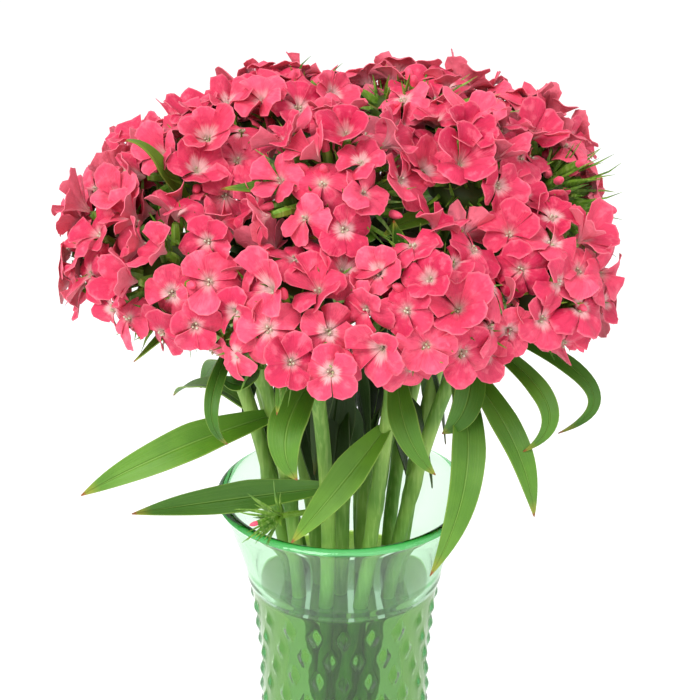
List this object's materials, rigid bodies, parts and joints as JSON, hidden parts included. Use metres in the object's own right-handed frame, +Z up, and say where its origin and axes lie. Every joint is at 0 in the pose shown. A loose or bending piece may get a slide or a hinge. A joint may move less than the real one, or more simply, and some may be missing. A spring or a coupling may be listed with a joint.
{
  "type": "bunch of cut sweet william in a pressed glass vase",
  "caption": "Domed bunch of pink sweet william on jointed leafy stems, standing in water in a tall waisted green glass vase with a smooth flared collar over pressed diamonds.",
  "frame": {"origin": "centre of the vase's flat base, where it stands", "axes": "+Z up along the vase's axis, -Y towards the front of the bunch, +X to the right seen from the front"},
  "size_m": [0.2151, 0.2023, 0.3964],
  "materials": {
    "glass": "pressed, clear, pale green",
    "water": "clear liquid",
    "leaf": "waxy plant green",
    "petal": "velvety, coral pink with a pale throat"
  },
  "bodies": {
    "root": {"vase": "glass", "water": "water", "stem_front_left": "leaf", "stem_front_right": "leaf", "stem_right": "leaf", "stem_left": "leaf", "stem_far_left": "leaf", "stem_far_right": "leaf", "stem_upper_left": "leaf", "stem_centre": "leaf", "stem_upper_right": "leaf", "stem_crown_left": "leaf", "stem_crown_right": "leaf", "stem_back_right": "leaf", "stem_back_low": "leaf", "stem_back": "leaf", "stem_back_left": "leaf", "bloom_front_left": "petal", "bloom_front_right": "petal", "bloom_right": "petal", "bloom_left": "petal", "bloom_far_left": "petal", "bloom_far_right": "petal", "bloom_upper_left": "petal", "bloom_centre": "petal", "bloom_upper_right": "petal", "bloom_crown_left": "petal", "bloom_crown_right": "petal", "bloom_back_right": "petal", "bloom_back_low": "petal", "bloom_back": "petal", "bloom_back_left": "petal"}
  },
  "joints": []
}
